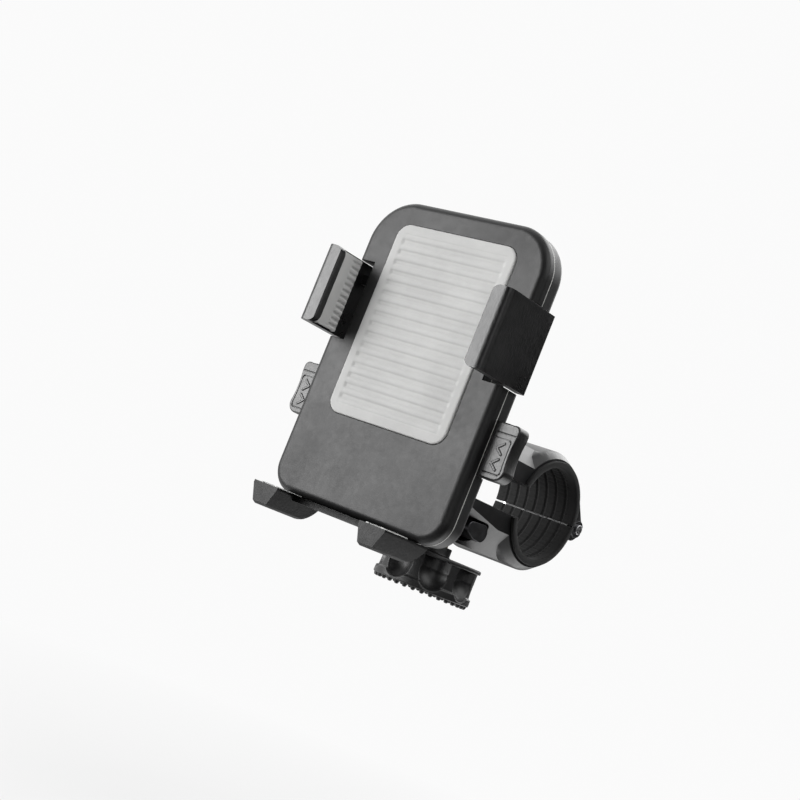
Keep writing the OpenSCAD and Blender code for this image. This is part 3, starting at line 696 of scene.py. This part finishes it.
def button_corner(x, y):
    if x < 0:
        return 0.5
    return 1.9 if y > 0 else 3.3


def build_button(side):
    """Release button, modelled at +X: a key with a hollowed outer end, on two inner blocks."""
    node = side + "_release_button"
    lo, hi, _, _ = cad_box(node)
    outer_x = hi[0] if side == "right" else -lo[0]
    inner_x, back_y, mid_z = 37.2, -67.7, 8.0
    width = outer_x - inner_x
    mid_x = inner_x + width / 2
    key, faces = pad_sheet(width, 18.0, corner=button_corner, thick=5.7, edge=0.55,
                           relief=button_relief, cell=(0.14, 0.14), round_back=True)
    verts = []
    for x, y, z in key:
        hollow = 0.6 * max(0.0, 1 - (y / 5.4) ** 2) * max(0.0, x / (width / 2)) ** 3
        verts.append((mid_x + x - hollow, back_y - z, mid_z + y))
    verts, faces = join((verts, flipped(faces)),
                        rounded_box((34.5, 37.6), (-73.3, -68.9), (-1, 17)),
                        rounded_box((33.0, 34.7), (-73.3, -69.4), (-3, 19)))
    if side == "left":
        verts = [(-x, y, z) for x, y, z in verts]
        faces = flipped(faces)
    piece(side + "_release_key", verts, faces, "button", "button_" + side, node,
          sharp_angle=42)


# ---------------------------------------------------------------- stage
def build_floor():
    """Grey under the object, fading to the backdrop; clear when seen from below."""
    mesh = bpy.data.meshes.new("floor")
    bm = bmesh.new()
    bmesh.ops.create_grid(bm, x_segments=2, y_segments=2, size=8.0)
    bm.to_mesh(mesh)
    bm.free()
    floor = put("floor", mesh)
    floor.location = (0, 0, -0.15)
    material, tree, shader = new_material("floor_v")
    feed(tree, shader, {"Base Color": (0.5, 0.5, 0.5, 1), "Roughness": 0.95,
                        "Specular IOR Level": 0.0})
    place = add(tree, "ShaderNodeTexCoord").outputs["Object"]
    distance = maths(tree, "LENGTH", place, kind="ShaderNodeVectorMath")
    far = ramp(tree, distance, over=(0.12, 0.42), to=(0.55, 1.0))
    glow = add(tree, "ShaderNodeEmission", {"Color": (1, 1, 1, 1), "Strength": BACKDROP})
    upper = add(tree, "ShaderNodeMixShader", {0: far, 1: shader.outputs[0], 2: glow.outputs[0]})
    below = add(tree, "ShaderNodeNewGeometry").outputs["Backfacing"]
    clear = add(tree, "ShaderNodeBsdfTransparent")
    surface = add(tree, "ShaderNodeMixShader",
                  {0: below, 1: upper.outputs[0], 2: clear.outputs[0]})
    feed(tree, tree.nodes["Material Output"], {"Surface": surface.outputs[0]})
    mesh.materials.append(material)
    floor.visible_diffuse = False
    floor.visible_glossy = False
    floor.visible_shadow = False


def build_key_light():
    place, target = Vector((-0.58, -0.74, 0.11)), Vector((0, -0.08, 0.02))
    light = bpy.data.lights.new("key", "AREA")
    light.shape = "RECTANGLE"
    light.size, light.size_y = 0.50, 0.56
    light.energy = 10.5
    key = bpy.data.objects.new("key", light)
    key.location = place
    key.rotation_mode = "QUATERNION"
    key.rotation_quaternion = (target - place).to_track_quat("-Z", "Y")
    key.visible_camera = False
    bpy.context.scene.collection.objects.link(key)


# soft panels of light: direction, (cosine where it starts, cosine where it is full), strength
PANELS = [
    ((-0.62, -0.74, 0.18), (0.72, 0.96), 0.4),
    ((-0.05, 0.81, 0.585), (0.82, 0.97), 3.6),
    ((-0.85, 0.45, 0.2), (0.6, 0.95), 0.6),
    ((0.10, 0.72, -0.68), (0.80, 0.97), 2.4),
    ((-1.0, -0.1, -0.1), (0.5, 0.95), 0.4),
    ((-0.64, 0.09, 0.76), (0.80, 0.96), 1.6),
    ((0.72, 0.08, 0.69), (0.80, 0.95), 2.5),
    ((0.20, -0.15, -0.97), (0.78, 0.96), 0.7),
    ((0.1, -0.2, 0.97), (0.82, 0.97), 0.7),
    ((-0.64, -0.08, -0.75), (0.82, 0.96), 1.8),
    ((-0.27, -0.957, 0.09), (0.965, 0.99), 5.0),
    ((0.746, -0.62, 0.09), (0.968, 0.99), 2.2),
]
AMBIENT = 0.035


def build_world():
    """Light panels for the object, and an even backdrop for the camera."""
    world = bpy.data.worlds.new("studio")
    bpy.context.scene.world = world
    world.use_nodes = True
    tree = world.node_tree
    view = add(tree, "ShaderNodeTexCoord").outputs["Generated"]
    total = None
    for direction, cosines, strength in PANELS:
        cosine = maths(tree, "DOT_PRODUCT", view, Vector(direction).normalized(),
                       kind="ShaderNodeVectorMath")
        panel = ramp(tree, cosine, over=cosines, to=(0.0, strength), interpolation="SMOOTHSTEP")
        total = panel if total is None else maths(tree, "ADD", total, panel)
    lit = maths(tree, "ADD", total, AMBIENT)
    by_camera = add(tree, "ShaderNodeLightPath").outputs["Is Camera Ray"]
    seen = add(tree, "ShaderNodeMix", {0: by_camera, 2: lit, 3: BACKDROP}, data_type="FLOAT")
    feed(tree, tree.nodes["Background"], {"Strength": seen.outputs[0], "Color": (1, 1, 1, 1)})


def build_camera():
    lens = bpy.data.cameras.new("camera")
    lens.sensor_width = 36.0
    lens.lens = 72.69
    lens.clip_start, lens.clip_end = 0.01, 50
    right = (0.7316, 0.5714, 0.3719)
    up = (-0.2331, -0.3030, 0.9240)
    back = (0.6406, -0.7627, -0.0885)
    pose = Matrix((right, up, back)).transposed().to_4x4()
    pose.translation = (0.32678, -0.46456, -0.03168)
    camera = bpy.data.objects.new("camera", lens)
    camera.matrix_world = pose
    bpy.context.scene.collection.objects.link(camera)
    bpy.context.scene.camera = camera
    bpy.context.scene.view_settings.view_transform = "Standard"


finish_nodes()
build_front_pad()
for side in ("left", "right"):
    build_button(side)
    build_jaw_pad(side)
    build_foot_pad(side)
for half in ("upper", "lower"):
    build_liner(half)
build_knob()
build_floor()
build_key_light()
build_world()
build_camera()
